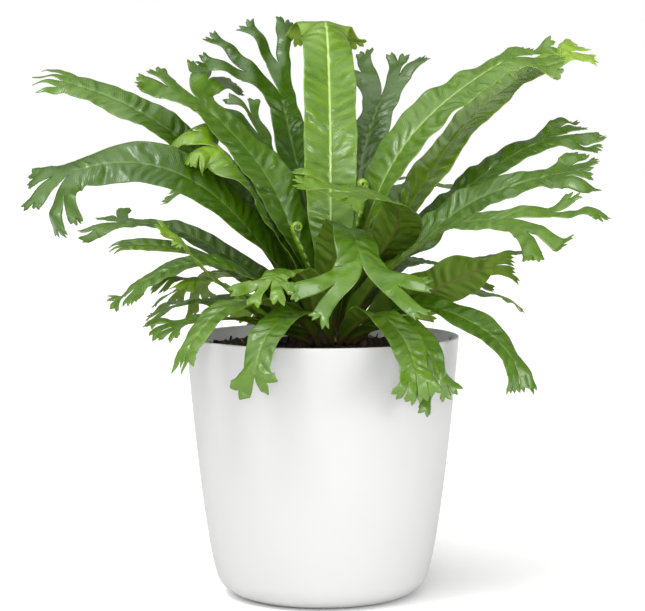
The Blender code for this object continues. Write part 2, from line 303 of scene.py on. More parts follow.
@dataclass(frozen=True)
class LeafFinish:
    """A blade's finish. It reads the blade's own traits.

    flat holds the distance across from the midrib, the distance along, and the share of the way
    to the margin. tone runs from 0, old and dark, to 1, new and yellow-green. crest is 0 on the
    blade and 1 at the tips of the crest. share is the share of the blade's length.
    """

    face: LeafFace
    roughness: float
    vein_pitch: float = 0.0016
    vein_slant: float = 0.55
    # The pitch of the painted bands of light and shade that follow the vein ripples.
    painted_band_pitch: float = 0.0094

    def tones(self) -> list[tuple[float, tuple[float, float, float]]]:
        """The greens from old to new."""
        if self.face is LeafFace.UPPER:
            return [(0.0, (0.013, 0.042, 0.001)), (0.35, (0.040, 0.100, 0.002)),
                    (0.65, (0.086, 0.178, 0.005)), (1.0, (0.240, 0.380, 0.020))]
        return [(0.0, (0.032, 0.066, 0.004)), (0.35, (0.062, 0.116, 0.008)),
                (0.65, (0.106, 0.180, 0.014)), (1.0, (0.250, 0.350, 0.032))]

    def build(self) -> bpy.types.Material:
        """Colour by age with mottling, a pale midrib that browns at the foot, slanting veins, and painted
        light and shade in bands along the vein ripples.

        Returns:
            The material.
        """
        graph = Graph(f"frond_{self.face.value}")
        upper = self.face is LeafFace.UPPER
        flat = graph.add("SeparateXYZ", {0: graph.add("Attribute", attribute_name="flat").outputs["Vector"]})
        across, along, margin = flat.outputs
        tone = graph.add("Attribute", attribute_name="tone").outputs["Fac"]
        crest = graph.add("Attribute", attribute_name="crest").outputs["Fac"]
        share = graph.add("Attribute", attribute_name="share").outputs["Fac"]
        place = graph.add("TexCoord").outputs["Object"]

        off = graph.sum("ABSOLUTE", across)
        slant = graph.sum("MULTIPLY_ADD", off, -self.vein_slant, along)
        wander = graph.noise(place, 90.0)
        phase = graph.sum("MULTIPLY_ADD", wander, 0.0022, slant)
        wave = graph.sum("SINE", graph.sum("MULTIPLY", phase, 2 * np.pi / self.vein_pitch))
        off_midrib = graph.step(off, 0.0006, 0.0022)
        veins = graph.sum("MULTIPLY", wave, off_midrib)

        # Painted light and shade: broad light and dark bands that follow the vein ripples, so the puckers
        # look lit in any light.
        painted_band_phase = graph.sum("MULTIPLY_ADD", wander, 0.010, slant)
        painted_bands = graph.sum("SINE", graph.sum("MULTIPLY", painted_band_phase, 2 * np.pi / self.painted_band_pitch))
        painted_bands = graph.sum("MULTIPLY", painted_bands, graph.sum("MULTIPLY", off_midrib, graph.noise(place, 55.0)))
        mottle = graph.noise(place, 42.0, 4.0)
        fine = graph.noise(place, 600.0, 2.0)
        tone_and_painted_bands = graph.sum("MULTIPLY_ADD", graph.sum("SUBTRACT", mottle, 0.5), 0.34, tone)
        tone_and_painted_bands = graph.sum("MULTIPLY_ADD", veins, 0.030, tone_and_painted_bands)
        # Adds the painted light-and-shade bands to the tone.
        tone_and_painted_bands = graph.sum("MULTIPLY_ADD", painted_bands, 0.11, tone_and_painted_bands)
        tone_and_painted_bands = graph.sum("MULTIPLY_ADD", graph.sum("SUBTRACT", fine, 0.5), 0.03, tone_and_painted_bands)
        paler = graph.step(margin, 0.90, 1.0)
        tone_and_painted_bands = graph.sum("MULTIPLY_ADD", paler, 0.10, tone_and_painted_bands)
        colour = graph.ramp(tone_and_painted_bands, self.tones())

        rib = graph.sum("SUBTRACT", 1.0, graph.step(off, 0.0004, 0.0011))
        rib = graph.sum("MULTIPLY", rib, graph.sum("SUBTRACT", 1.0, graph.step(crest, 0.0, 0.10)))
        bright = (0.36, 0.50, 0.13, 1) if upper else (0.110, 0.085, 0.026, 1)
        pale = graph.blend(graph.step(share, 0.10, 0.42), (0.085, 0.050, 0.018, 1), bright)
        shown = graph.add("Attribute", attribute_name="rib").outputs["Fac"]
        early = graph.sum("MULTIPLY", graph.sum("SUBTRACT", 1.0, graph.step(share, 0.15, 0.5)), 0.4)
        shown = graph.sum("MAXIMUM", graph.sum("MAXIMUM", shown, early), 0.0 if upper else 0.6)
        colour = graph.blend(graph.sum("MULTIPLY", rib, shown), colour, pale)
        foot = graph.sum("SUBTRACT", 1.0, graph.step(share, 0.015, 0.10))
        colour = graph.blend(graph.sum("MULTIPLY", foot, 0.85), colour, (0.050, 0.030, 0.012, 1))

        gloss = graph.sum("MULTIPLY_ADD", graph.noise(place, 130.0, 3.0), 0.22, self.roughness - 0.11)
        height = graph.sum("MULTIPLY_ADD", fine, 0.15, graph.sum("MULTIPLY", veins, 0.5))
        bump = graph.add("Bump", {"Height": height, "Strength": 0.30 if upper else 0.35, "Distance": 0.00026})
        body = graph.add("BsdfPrincipled", {
            "Base Color": colour, "Roughness": gloss, "Normal": bump.outputs[0],
            "Specular IOR Level": 0.50 if upper else 0.20, "IOR": 1.45,
            "Coat Weight": 0.32 if upper else 0.0, "Coat Roughness": 0.20,
        })
        through = graph.add("BsdfTranslucent", {"Color": graph.blend(0.35, colour, (0.55, 0.75, 0.04, 1))})
        mixed = graph.add("MixShader", {0: 0.17, 1: body.outputs[0], 2: through.outputs[0]})
        return graph.finish(mixed.outputs[0])


@dataclass(frozen=True)
class PotFinish:
    """Smooth satin white plastic with the faintest unevenness of a moulded wall."""

    colour: tuple[float, float, float] = (0.54, 0.54, 0.54)
    roughness: float = 0.42
    see_through: float = 0.32

    def build(self) -> bpy.types.Material:
        """White with a very fine grain, and a slow wave too shallow to measure.

        Returns:
            The material.
        """
        graph = Graph("pot_white")
        place = graph.add("TexCoord").outputs["Object"]
        cloud = graph.noise(place, 14.0, 3.0)
        grain = graph.noise(place, 2600.0, 2.0)
        dark = tuple(0.975 * part for part in self.colour)
        colour = graph.blend(cloud, (*dark, 1), (*self.colour, 1))
        gloss = graph.sum("MULTIPLY_ADD", cloud, 0.10, self.roughness - 0.05)
        height = graph.sum("MULTIPLY_ADD", grain, 0.05, cloud)
        bump = graph.add("Bump", {"Height": height, "Strength": 0.12, "Distance": 0.0006})
        body = graph.add("BsdfPrincipled", {
            "Base Color": colour, "Roughness": gloss, "Normal": bump.outputs[0], "IOR": 1.49,
            "Specular IOR Level": 0.45,
        })
        through = graph.add("BsdfTranslucent", {"Color": (0.9, 0.9, 0.88, 1)})
        mixed = graph.add("MixShader", {0: self.see_through, 1: body.outputs[0], 2: through.outputs[0]})
        return graph.finish(mixed.outputs[0])


@dataclass(frozen=True)
class EarthFinish:
    """Moist, dark and crumbly. The trait grain picks each crumb's colour."""

    name: str
    stops: tuple[tuple[float, tuple[float, float, float]], ...]
    roughness: float = 0.85

    def build(self) -> bpy.types.Material:
        """Colour by grain with a fine speckle.

        Returns:
            The material.
        """
        graph = Graph(self.name)
        place = graph.add("TexCoord").outputs["Object"]
        grain = graph.add("Attribute", attribute_name="grain").outputs["Fac"]
        speckle = graph.noise(place, 900.0, 4.0)
        mixed = graph.sum("MULTIPLY_ADD", graph.sum("SUBTRACT", speckle, 0.5), 0.35, grain)
        colour = graph.ramp(mixed, list(self.stops))
        bump = graph.add("Bump", {"Height": speckle, "Strength": 0.6, "Distance": 0.0006})
        gloss = graph.sum("MULTIPLY_ADD", speckle, -0.3, self.roughness + 0.1)
        body = graph.add("BsdfPrincipled", {
            "Base Color": colour, "Roughness": gloss, "Normal": bump.outputs[0],
            "Specular IOR Level": 0.35,
        })
        return graph.finish(body.outputs[0])


# ---------------------------------------------------------------- pot, soil and crown


@dataclass
class Pot:
    """The white pot: a thin wall turned about Z, with a rounded lip and a recessed underside."""

    radius: float
    height: float
    foot_radius: float = 0.062
    wall: float = 0.0026
    floor: float = 0.0035
    foot_rounding: float = 0.014
    lip: float = 0.0010
    recess_radius: float = 0.040
    recess: float = 0.0009
    segments: int = 160

    def wall_radius(self, height: Array) -> Array:
        """The outer radius: foot + (rim - foot) * sqrt(share of height), less a quarter round.

        Args:
            height: Heights above the base.

        Returns:
            The radii there.
        """
        share = np.clip(height / self.height, 0, 1)
        along = np.clip(1 - height / self.foot_rounding, 0, 1)
        rounding = self.foot_rounding * (1 - np.sqrt(1 - along * along))
        return self.foot_radius + (self.radius - self.foot_radius) * np.sqrt(share) - rounding

    def profile(self) -> Array:
        """The section from the middle of the underside, up the outside and down the inside.

        Returns:
            Points as (radius, height).
        """
        foot = self.foot_rounding * (1 - np.cos(np.linspace(0, np.pi / 2, 14)))
        wall_height = self.height - self.lip - self.foot_rounding
        rise = self.foot_rounding + wall_height * np.linspace(0, 1, 34)[1:] ** 1.4
        up = np.concatenate([foot, rise])
        outside = np.column_stack([self.wall_radius(up), up])
        arc = np.linspace(0, np.pi / 2, 6)[1:]
        outer_lip = np.column_stack([
            self.radius - self.lip * (1 - np.cos(arc)), self.height - self.lip * (1 - np.sin(arc)),
        ])
        middle = self.radius - self.wall + self.lip
        inner_lip = np.column_stack([
            middle - self.lip * np.sin(arc), self.height - self.lip * (1 - np.cos(arc)),
        ])
        down = np.concatenate([rise[-2::-4], foot[foot > self.floor][::-1]])
        inside = np.column_stack([self.wall_radius(down) - self.wall, down])
        middle_low = [[self.wall_radius(np.array(self.floor)) - self.wall, self.floor], [0, self.floor]]
        ring = self.recess_radius
        under = [
            [0, self.recess], [ring - 0.0015, self.recess], [ring - 0.0005, self.recess * 0.6], [ring, 0],
        ]
        return np.vstack([under, outside, outer_lip, inner_lip, inside, middle_low])

    def surface(self) -> Surface:
        """Sweeps the profile round Z; the first and last rings close to a point.

        Returns:
            The pot as one closed surface.
        """
        radius, height = self.profile().T
        turn = np.linspace(0, 2 * np.pi, self.segments, endpoint=False)
        points = np.stack([
            radius[:, None] * np.cos(turn), radius[:, None] * np.sin(turn),
            np.broadcast_to(height[:, None], (len(height), self.segments)),
        ], axis=-1).reshape(-1, 3)
        ids = np.arange(len(points)).reshape(len(radius), self.segments)
        ids[0], ids[-1] = ids[0, 0], ids[-1, 0]
        quads = grid_quads(np.column_stack([ids, ids[:, :1]]))
        return Surface(points, np.ascontiguousarray(quads[:, ::-1]))

    def build(self) -> None:
        """Makes the pot and dresses it."""
        mesh = close_poles(self.surface().mesh("pot_shell", [PotFinish().build()]))
        place_piece("white_pot", mesh, "pot")


def close_poles(mesh: bpy.types.Mesh) -> bpy.types.Mesh:
    """Drops the spare corners where a ring has closed to a point, and the points left over.

    Args:
        mesh: A turned mesh.

    Returns:
        The same mesh, cleaned.
    """
    mesh.validate(clean_customdata=False)
    work = merged_copy(mesh)
    work.to_mesh(mesh)
    work.free()
    mesh.shade_smooth()
    mesh.set_sharp_from_angle(angle=radians(38))
    return mesh


def merged_copy(mesh: bpy.types.Mesh) -> bmesh.types.BMesh:
    """A working copy of a mesh with its doubles merged and its faces turned outwards.

    Args:
        mesh: The mesh to copy.

    Returns:
        The copy, for the caller to write back and free.
    """
    work = bmesh.new()
    work.from_mesh(mesh)
    bmesh.ops.remove_doubles(work, verts=work.verts, dist=1e-6)
    bmesh.ops.delete(work, geom=[v for v in work.verts if not v.link_faces], context="VERTS")
    bmesh.ops.recalc_face_normals(work, faces=work.faces)
    return work


# A twenty-sided crumb: its corners lie on three crossed golden rectangles, one unit from the middle
GOLDEN = 1.618
CRUMB_REACH = 1.902
CRUMB = np.array((
    (0, 1, GOLDEN), (0, 1, -GOLDEN), (0, -1, GOLDEN), (0, -1, -GOLDEN),
    (1, GOLDEN, 0), (1, -GOLDEN, 0), (-1, GOLDEN, 0), (-1, -GOLDEN, 0),
    (GOLDEN, 0, 1), (-GOLDEN, 0, 1), (GOLDEN, 0, -1), (-GOLDEN, 0, -1),
)) / CRUMB_REACH
CRUMB_FACES = np.array((
    (0, 2, 8), (0, 8, 4), (0, 4, 6), (0, 6, 9), (0, 9, 2),
    (3, 1, 10), (3, 10, 5), (3, 5, 7), (3, 7, 11), (3, 11, 1),
    (2, 5, 8), (8, 5, 10), (8, 10, 4), (4, 10, 1), (4, 1, 6),
    (6, 1, 11), (6, 11, 9), (9, 11, 7), (9, 7, 2), (2, 7, 5),
))


def scatter(sizes: Array, places: Array, seed: int, rough: float = 0.22) -> tuple[Array, Array]:
    """Turned, stretched and dented copies of a twenty-sided crumb.

    Args:
        sizes: Three half sizes for each crumb.
        places: Where each crumb's middle goes.
        seed: Fixes the turns and dents.
        rough: How far a corner is pushed in or out, as a share.

    Returns:
        The points and the triangles of all the crumbs.
    """
    draw = np.random.default_rng(seed)
    count = len(places)
    shapes = CRUMB[None] * (1 + rough * draw.normal(size=(count, len(CRUMB), 1))) * sizes[:, None]
    axis = draw.normal(size=(count, 4))
    w, x, y, z = (axis / np.linalg.norm(axis, axis=1)[:, None]).T
    turn = np.stack([
        1 - 2 * (y * y + z * z), 2 * (x * y - w * z), 2 * (x * z + w * y),
        2 * (x * y + w * z), 1 - 2 * (x * x + z * z), 2 * (y * z - w * x),
        2 * (x * z - w * y), 2 * (y * z + w * x), 1 - 2 * (x * x + y * y),
    ], axis=-1).reshape(-1, 3, 3)
    points = np.einsum("nij,nkj->nki", turn, shapes) + places[:, None]
    faces = CRUMB_FACES[None] + len(CRUMB) * np.arange(count)[:, None, None]
    return points.reshape(-1, 3), faces.reshape(-1, 3)


@dataclass
class Soil:
    """Dark potting soil: a lumpy surface on a plug that fills the pot, strewn with crumbs."""

    pot: Pot
    drop: float = 0.0095
    rise: float = 0.003
    rings: int = 56
    spokes: int = 200
    crumbs: int = 1500
    chips: int = 240

    def top(self, radius: Array) -> Array:
        """The soil's height: the rim less the drop, plus a rise towards the middle."""
        edge = self.pot.radius - self.pot.wall
        return self.pot.height - self.drop + self.rise * (1 - radius / edge)

    def plug(self) -> Surface:
        """The lumpy top, carried down inside the wall to the floor.

        Returns:
            The plug as triangles, with the grain trait.
        """
        pot = self.pot
        edge = float(pot.wall_radius(np.array(pot.height - self.drop))) - pot.wall - 0.0004
        turn = np.linspace(0, 2 * np.pi, self.spokes, endpoint=False)
        radius = edge * np.linspace(0, 1, self.rings) ** 0.8
        flat = np.stack([radius[:, None] * np.cos(turn), radius[:, None] * np.sin(turn)], -1)
        level = np.broadcast_to(self.top(radius)[:, None], flat.shape[:2])
        spots = flat.reshape(-1, 2)
        lumps = 0.0009 * swell(spots, 0.016, 14, 5) + 0.0007 * swell(spots, 0.005, 26, 6)
        top = np.dstack([flat, level + np.clip(lumps, -0.003, 0.003).reshape(flat.shape[:2])])
        top[0] = top[0].mean(axis=0)
        low = np.linspace(pot.height - self.drop - 0.006, pot.floor + 0.0006, 12)
        inner = pot.wall_radius(low) - pot.wall - 0.0008
        sides = np.stack(np.broadcast_arrays(
            inner[:, None] * np.cos(turn), inner[:, None] * np.sin(turn), low[:, None]), -1)
        end = np.zeros((1, self.spokes, 3))
        end[..., 2] = low[-1]
        points = np.concatenate([top, sides, end])
        ids = np.arange(points.shape[0] * self.spokes).reshape(-1, self.spokes)
        ids[0], ids[-1] = ids[0, 0], ids[-1, 0]
        quads = grid_quads(np.column_stack([ids, ids[:, :1]]))
        faces = np.vstack([quads[:, [0, 1, 2]], quads[:, [0, 2, 3]]])
        kept = (faces[:, 0] != faces[:, 1]) & (faces[:, 1] != faces[:, 2]) & (faces[:, 2] != faces[:, 0])
        points = points.reshape(-1, 3)
        grain = 0.20 + 0.10 * swell(points[:, :2], 0.010, 12, 7)
        return Surface(points, faces[kept], np.zeros(int(kept.sum())), {"grain": grain})

    def strewn(self) -> Surface:
        """Round crumbs and long chips half sunk in the top.

        Returns:
            The crumbs as triangles, with the grain trait.
        """
        draw = np.random.default_rng(11)
        count = self.crumbs + self.chips
        reach = self.pot.radius - self.pot.wall - 0.0035
        radius = reach * np.sqrt(draw.uniform(0.01, 1, count))
        turn = draw.uniform(0, 2 * np.pi, count)
        size = np.exp(draw.normal(np.log(0.00115), 0.42, count)).clip(0.0005, 0.0032)
        shape = draw.uniform(0.65, 1.2, (count, 3))
        shape[self.crumbs:] *= (3.2, 0.45, 0.45)
        level = self.top(radius) + 0.25 * size
        places = np.column_stack([radius * np.cos(turn), radius * np.sin(turn), level])
        points, faces = scatter(size[:, None] * shape, places, 12)
        tint = np.where(draw.uniform(size=count) < 0.03, 0.95, draw.uniform(0.02, 0.62, count))
        return Surface(points, faces, np.zeros(len(faces)), {"grain": np.repeat(tint, len(CRUMB))})

    def build(self) -> None:
        """Makes the soil and dresses it."""
        finish = EarthFinish("potting_soil", (
            (0.0, (0.006, 0.004, 0.003)), (0.35, (0.018, 0.010, 0.007)),
            (0.7, (0.055, 0.030, 0.018)), (1.0, (0.26, 0.20, 0.15)),
        ))
        mesh = self.plug().joined(self.strewn()).mesh("soil_fill", [finish.build()])
        place_piece("soil_fill", mesh, "soil")


@dataclass
class Crown:
    """The short stem: a knob whose surface is hidden by brown, papery scales."""

    centre: Array
    foot: float
    radius: float
    height: float
    shares: tuple[float, ...] = (0.14, 0.37, 0.60, 0.82)
    scales: int = 150

    def radius_at(self, share: Array) -> Array:
        """The radius at a share of the height: widest low down, and closing to a point."""
        low = self.shares[0]
        below = 0.85 + 0.15 * share / low
        above = np.clip(1 - (share - low) / (1 - low), 0, 1) ** 0.65
        return self.radius * np.where(share < low, below, above)

    def knob(self) -> Surface:
        """The turned knob, as a grid of angle and height.

        Returns:
            The knob, with the grain trait.
        """
        share = np.concatenate([[0], np.linspace(0, 1, 24) ** 0.9])
        radius = self.radius_at(share)
        radius[0] = 0
        turn = np.linspace(0, 2 * np.pi, 48, endpoint=False)
        points = np.stack(np.broadcast_arrays(
            self.centre[0] + radius[:, None] * np.cos(turn), self.centre[1] + radius[:, None] * np.sin(turn),
            (self.foot + self.height * share)[:, None]), -1)
        ids = np.arange(points.shape[0] * 48).reshape(-1, 48)
        quads = grid_quads(np.column_stack([ids, ids[:, :1]]))[:, ::-1]
        points = points.reshape(-1, 3)
        return Surface(points, quads, np.zeros(len(quads)), {"grain": np.full(len(points), 0.15)})

    def papery(self) -> Surface:
        """Scales on a spiral: each is a pointed strip that lies against the knob and lifts at its tip.

        Returns:
            The scales, with the grain trait.
        """
        draw = np.random.default_rng(21)
        order = np.arange(self.scales)
        turn = order * 2.39996
        share = 0.02 + 0.86 * order / self.scales
        length = draw.uniform(0.004, 0.0065, self.scales)
        width = draw.uniform(0.0011, 0.0017, self.scales)
        along, side = np.linspace(0, 1, 5), np.linspace(-1, 1, 3)
        out = np.column_stack([np.cos(turn), np.sin(turn), np.zeros(self.scales)])
        round_ = np.column_stack([-np.sin(turn), np.cos(turn), np.zeros(self.scales)])
        base = np.array([self.centre[0], self.centre[1], self.foot]) + out * self.radius_at(share)[:, None]
        base[:, 2] += self.height * share
        lean = (self.radius / self.height) * np.ones(self.scales)
        climb = np.array([0, 0, 1.0]) - out * 0.5 * lean[:, None]
        climb /= np.linalg.norm(climb, axis=1)[:, None]
        taper = (1 - along) ** 0.7 + 0.04
        lift = 0.0003 + 0.0011 * along**2
        points = (
            base[:, None, None]
            + climb[:, None, None] * (length[:, None, None] * along[None, :, None])[..., None]
            + round_[:, None, None] * (width[:, None, None] * taper[None, :, None] * side)[..., None]
            + out[:, None, None] * np.broadcast_to(lift[None, :, None], (self.scales, 5, 3))[..., None]
        )
        ids = np.arange(self.scales * 15).reshape(self.scales, 5, 3)
        corners = [ids[:, :-1, :-1], ids[:, :-1, 1:], ids[:, 1:, 1:], ids[:, 1:, :-1]]
        quads = np.stack(corners, -1).reshape(-1, 4)
        points = points.reshape(-1, 3)
        thick = Sheet.thickened(points, quads, np.full(len(points), 0.0001), np.full(len(points), 0.0001))
        grain = np.tile(np.repeat(draw.uniform(0.1, 0.9, self.scales), 15), 2)
        return Surface(thick.points, thick.faces, np.zeros(len(thick.faces)), {"grain": grain})

    def build(self) -> None:
        """Makes the crown and dresses it."""
        finish = EarthFinish("crown_scales", (
            (0.0, (0.012, 0.007, 0.004)), (0.4, (0.040, 0.022, 0.010)),
            (0.7, (0.095, 0.055, 0.026)), (1.0, (0.19, 0.12, 0.06)),
        ), roughness=0.7)
        mesh = self.knob().joined(self.papery()).mesh("crown_stem", [finish.build()])
        place_piece("crown_stem", close_poles(mesh), "crown")


# ---------------------------------------------------------------- fronds


@dataclass(frozen=True)
class Frond:
    """One frond, with the same values as its solid, and then its looks.

    tip is where the crest begins, from the middle of the rim: right, back, up. tone is its age,
    with painted light added on frond_right_highest, fresh is how much newer the crest looks, and
    wave is the height of the margin's waves.
    """

    name: str
    tier: int
    slot: float
    tip: tuple[float, float, float]
    width: float
    arch: float = 60.0
    late: float = 1.0
    sway: float = 0.0
    tilt: float = 0.0
    spread: float = 32.0
    lobe: float = 0.020
    tine: float = 0.020
    flare: float = 1.3
    lean: float = 0.0
    nod: float = 30.0
    curl: float = 2.0
    full_at: float = 0.45
    narrowing: float = 0.22
    forks: int = 4
    tone: float = 0.45
    fresh: float = 0.10
    wave: float = 0.0020
    rib: float = 0.14


def directions(rise: Array, turn: Array) -> tuple[Array, Array, Array]:
    """The frame of a path that climbs at rise and heads at turn.

    Args:
        rise: Climb angles.
        turn: Headings, from +X towards +Y.

    Returns:
        Unit vectors along the path, to its side, and out of a blade's upper face.
    """
    flat = np.column_stack([np.cos(turn), np.sin(turn)])
    along = np.column_stack([flat * np.cos(rise)[:, None], np.sin(rise)])
    side = np.column_stack([-np.sin(turn), np.cos(turn), np.zeros(len(turn))])
    face = np.column_stack([-flat * np.sin(rise)[:, None], np.cos(rise)])
    return along, side, face


class Midrib:
    """A frond's midrib as a bent line with a frame.

    The climb falls by arch * share^late and the heading turns by sway * share. The start angles
    and the length are solved so that the line runs from the crown to the tip, and past the tip
    the climb falls by nod over the crest.
    """

    STEPS = 48
    SOLVES = 12

    def __init__(self, frond: Frond, start: Array, rim: float) -> None:
        """Solves the line.

        Args:
            frond: The frond's values.
            start: Where it leaves the crown.
            rim: The height of the pot's rim.
        """
        self.frond, self.start = frond, start
        goal = np.array(frond.tip) + (0, 0, rim) - start
        rise, turn, self.length = 0.0, 0.0, 1.0
        share = (np.arange(self.STEPS) + 0.5) / self.STEPS
        for _ in range(self.SOLVES):
            end = directions(*self.angles(share, rise, turn))[0].mean(axis=0)
            rise += np.arctan2(goal[2], np.hypot(*goal[:2])) - np.arctan2(end[2], np.hypot(*end[:2]))
            turn += np.arctan2(goal[1], goal[0]) - np.arctan2(end[1], end[0])
            self.length = float(np.linalg.norm(goal) / np.linalg.norm(end))
        self.rise, self.turn = rise, turn
        self.at = np.linspace(0, self.length + 1.6 * (frond.lobe + frond.tine), 10 * self.STEPS)
        along = directions(*self.angles(self.at / self.length, rise, turn))[0]
        steps = (along[1:] + along[:-1]) / 2 * (self.at[1] - self.at[0])
        self.line = start + np.vstack([np.zeros(3), np.cumsum(steps, axis=0)])

    def angles(self, share: Array, rise: float, turn: float) -> tuple[Array, Array]:
        """The climb and the heading at shares of the blade's length."""
        frond, blade = self.frond, np.clip(share, 0, 1)
        past = np.clip(share - 1, 0, None) * self.length / (frond.lobe + frond.tine)
        climb = rise - radians(frond.arch) * blade**frond.late - radians(frond.nod) * past
        return climb, turn + radians(frond.sway) * blade

    def place(self, flat: Array, lift: Array, roll: Array) -> Array:
        """Bends flat points into space.

        Args:
            flat: Distances across and along.
            lift: Heights over the flat sheet.
            roll: Extra turn about the midrib, in radians.

        Returns:
            The points in space.
        """
        along = np.minimum(flat[:, 1], self.at[-1])
        share = np.clip(along, 0, None) / self.length
        centre = np.column_stack([np.interp(along, self.at, self.line[:, k]) for k in range(3)])
        forward, side, face = directions(*self.angles(share, self.rise, self.turn))
        centre += forward * np.minimum(along, 0)[:, None]
        full = (radians(self.frond.tilt) * np.clip(2 * share, 0, 1) + roll)[:, None]
        side, face = side * np.cos(full) + face * np.sin(full), face * np.cos(full) - side * np.sin(full)
        return centre + side * flat[:, :1] + face * lift[:, None]


class Sheet:
    """A flat sheet built from strips that share their end rows.

    Each point has a place (across, along) and its own strip's traits: the distance across from
    the strip's middle, the share of the way to its margin, and the share of the crest behind it.
    """

    def __init__(self) -> None:
        """An empty sheet."""
        self.count = 0
        self.places: list[Array] = []
        self.traits: list[Array] = []
        self.quads: list[Array] = []

    def strip(self, first: Array | None, places: Array, traits: Array) -> Array:
        """Adds rows of points.

        Args:
            first: The numbers of the row that these rows follow, or None for a new sheet.
            places: Rows by columns of (across, along).
            traits: Rows by columns of the three traits.

        Returns:
            The numbers of the last row.
        """
        rows, columns = places.shape[:2]
        ids = self.count + np.arange(rows * columns).reshape(rows, columns)
        self.count += rows * columns
        self.places.append(places.reshape(-1, 2))
        self.traits.append(traits.reshape(-1, 3))
        self.quads.append(grid_quads(ids if first is None else np.vstack([first, ids])))
        return ids[-1]

    @staticmethod
    def thickened(points: Array, quads: Array, up: Array, down: Array) -> Surface:
        """Gives a sheet two faces and a narrow wall round its margin.

        Args:
            points: The sheet's points in space.
            quads: Its faces.
            up: How far the upper face stands off each point.
            down: How far the under face does.

        Returns:
            A closed surface, whose under face and margin have finish 1.
        """
        normal = vertex_normals(points, quads)
        both = np.vstack([points + normal * up[:, None], points - normal * down[:, None]])
        edges = np.vstack([quads[:, [k, (k + 1) % 4]] for k in range(4)])
        keys = np.sort(edges, axis=1)
        _, where, counts = np.unique(keys, axis=0, return_inverse=True, return_counts=True)
        rim = edges[counts[where.ravel()] == 1]
        under = len(points)
        walls = np.column_stack([rim[:, 0] + under, rim[:, 1] + under, rim[:, 1], rim[:, 0]])
        faces = np.vstack([quads, quads[:, ::-1] + under, walls])
        finish = np.concatenate([np.zeros(len(quads)), np.ones(len(quads) + len(walls))])
        return Surface(both, faces, finish)


@dataclass(frozen=True)
class Branch:
    """One level of a crest: how long, how wide and how far apart its pieces are."""

    length: float
    spread: float
    flare: float
    rows: int


class Crest:
    """A webbed palm at the end of a blade, whose edge forks again and again as an antler does.

    A piece is a strip that starts along its parent's heading and turns outwards as an arc, and
    its half width goes from h to h * flare as the square of the way along. Two neighbours never
    widen faster than they part.
    """

    PALM = 0.34

    def __init__(self, sheet: Sheet, frond: Frond, seed: int) -> None:
        """Prepares the levels.

        Args:
            sheet: The sheet to build on.
            frond: The frond's values.
            seed: Fixes the unevenness of the pieces.
        """
        self.sheet, self.lean, self.forks = sheet, radians(frond.lean), frond.forks
        self.draw = np.random.default_rng(seed)
        spread = radians(frond.spread)
        tooth = 0.0024 + 0.05 * frond.tine
        self.palm = Branch(self.PALM * frond.lobe, 0.0, 1.0 + 0.32 * frond.flare * min(spread, 0.7), 8)
        self.levels = (
            Branch((1 - self.PALM) * frond.lobe, spread, frond.flare * 1.08, 14),
            Branch(frond.tine * 0.74, spread * 0.55 + 0.08, frond.flare * 1.05, 14),
            Branch(tooth, spread * 0.30 + 0.26, 1.0, 7),
            Branch(tooth * 0.62, 0.42, 0.18, 6),
        )
        self.total = self.palm.length + sum(level.length for level in self.levels[: frond.forks])

    def rows(self, first: Array, centre: Array, angle: Array, widths: Array, gone: Array) -> Array:
        """Adds a strip along a line, and returns the numbers of its last row.

        Args:
            first: The row that it follows.
            centre: The line, from that row's middle.
            angle: The line's headings.
            widths: The half widths.
            gone: The lengths of crest behind each row.

        Returns:
            The numbers of the last row.
        """
        side = np.linspace(-1, 1, len(first))
        across = np.column_stack([np.cos(angle), -np.sin(angle)])
        local = widths[:, None] * side
        places = centre[:, None] + across[:, None] * local[..., None]
        behind = np.broadcast_to(gone[:, None] / self.total, local.shape)
        traits = np.dstack([local, np.broadcast_to(np.abs(side), local.shape), behind])
        return self.sheet.strip(first, places[1:], traits[1:])

    def grow(self, first: Array, start: Array, half: float) -> None:
        """Grows the palm from a blade's last row, and forks it.

        Args:
            first: The blade's last row.
            start: The middle of that row.
            half: Half of its width.
        """
        palm = self.palm
        share = np.linspace(0, 1, palm.rows + 1)
        heading = 0.35 * self.lean * share
        steps = np.column_stack([np.sin(heading), np.cos(heading)])[1:] * palm.length / palm.rows
        centre = start + np.vstack([np.zeros(2), np.cumsum(steps, axis=0)])
        widths = half * (1 + (palm.flare - 1) * smooth(0, 1, share))
        last = self.rows(first, centre, heading, widths, palm.length * share)
        self.fork(0, last, centre[-1], heading[-1], widths[-1], palm.length)

    def fork(self, level: int, first: Array, start: Array, heading: float, half: float, gone: float) -> None:
        """Splits a row in two, grows both pieces, and forks each again.

        Args:
            level: Which level to grow.
            first: The numbers of the row to split.
            start: The middle of that row.
            heading: The row's heading, from the midrib towards its right.
            half: Half of the row's width.
            gone: The length of crest so far.
        """
        branch = self.levels[level]
        cells = (len(first) - 1) // 2
        share = np.linspace(0, 1, branch.rows + 1)
        last_level = level + 1 == self.forks
        for hand in (-1, 1):
            uneven = self.draw.normal(size=4)
            length = branch.length * float(np.clip(1 + 0.24 * uneven[0], 0.6, 1.4))
            turn = hand * branch.spread * (1 + 0.20 * uneven[1]) + 0.10 * uneven[2]
            turn += 0.65 * self.lean if level == 0 else 0.0
            angle = heading + turn * share**0.55
            middle = (angle[1:] + angle[:-1]) / 2
            steps = np.column_stack([np.sin(middle), np.cos(middle)]) * length / branch.rows
            begin = start + hand * half / 2 * np.array([np.cos(heading), -np.sin(heading)])
            centre = begin + np.vstack([np.zeros(2), np.cumsum(steps, axis=0)])
            parting = length * branch.spread * 0.65
            flare = min(branch.flare, 1 + 0.85 * parting / (half / 2))
            if last_level:
                flare = 0.10
            widths = half / 2 * (1 + (flare - 1) * share ** (1.1 if last_level else 2))
            row = first[: cells + 1] if hand < 0 else first[cells:]
            last = self.rows(row, centre, angle, widths, gone + length * share)
            if not last_level:
                self.fork(level + 1, last, centre[-1], angle[-1], widths[-1], gone + length)


